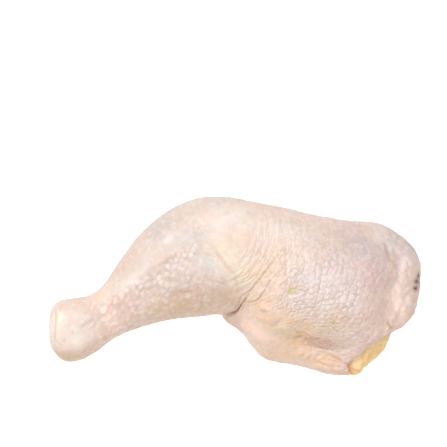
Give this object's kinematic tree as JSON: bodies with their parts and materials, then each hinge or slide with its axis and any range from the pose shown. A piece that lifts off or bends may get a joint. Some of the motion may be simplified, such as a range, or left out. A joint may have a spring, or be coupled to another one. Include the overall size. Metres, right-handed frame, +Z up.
{
  "type": "raw chicken leg quarter",
  "caption": "Raw chicken leg quarter: drumstick, knee, thigh and a strip of back in one piece under pale pimpled skin, lying on its inner side.",
  "frame": {"origin": "middle of the bounding box in plan, on the flat side it lies on", "axes": "+X from the drumstick's knuckle to the strip of back, +Y towards the outer side of the knee, +Z up from the table"},
  "size_m": [0.22, 0.108, 0.0448],
  "materials": {
    "chicken_skin": "moist, pale pink to cream, pimpled",
    "yellow_fat": "moist, butter yellow",
    "knuckle_cartilage": "wet, pearly off-white",
    "cut_flesh": "moist, pink"
  },
  "bodies": {
    "root": {"leg_quarter": "chicken_skin"}
  },
  "joints": []
}
